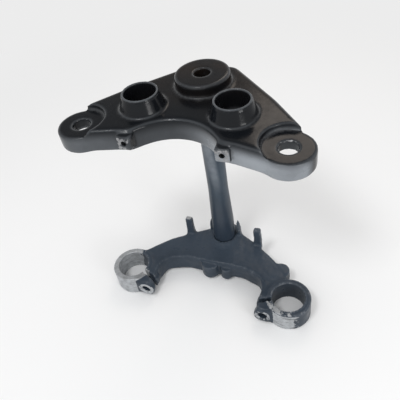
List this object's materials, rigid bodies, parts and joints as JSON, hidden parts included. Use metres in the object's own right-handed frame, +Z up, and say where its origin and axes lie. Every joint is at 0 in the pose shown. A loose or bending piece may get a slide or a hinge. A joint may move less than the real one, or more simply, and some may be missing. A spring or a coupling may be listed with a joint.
{
  "type": "motorcycle triple clamp",
  "caption": "Black motorcycle triple clamp: upper bridge with flared handlebar cups and fork pads, steering stem, and lower bridge with split fork clamps.",
  "frame": {"origin": "on the steering stem's axis, at the plane on which the lower bridge stands", "axes": "+Z up along the steering stem, +Y to the rear, so that the fork tubes stand at -Y, one at +X and one at -X"},
  "size_m": [0.206, 0.113, 0.2212],
  "materials": {
    "black_casting": "satin black paint over a casting",
    "dark_forging": "satin blue-black paint, worn to bare grey metal at the clamps",
    "stem_tube": "turned steel, darkened"
  },
  "bodies": {
    "root": {"upper_bridge": "black_casting", "lower_bridge": "dark_forging", "steering_stem": "stem_tube"}
  },
  "joints": []
}
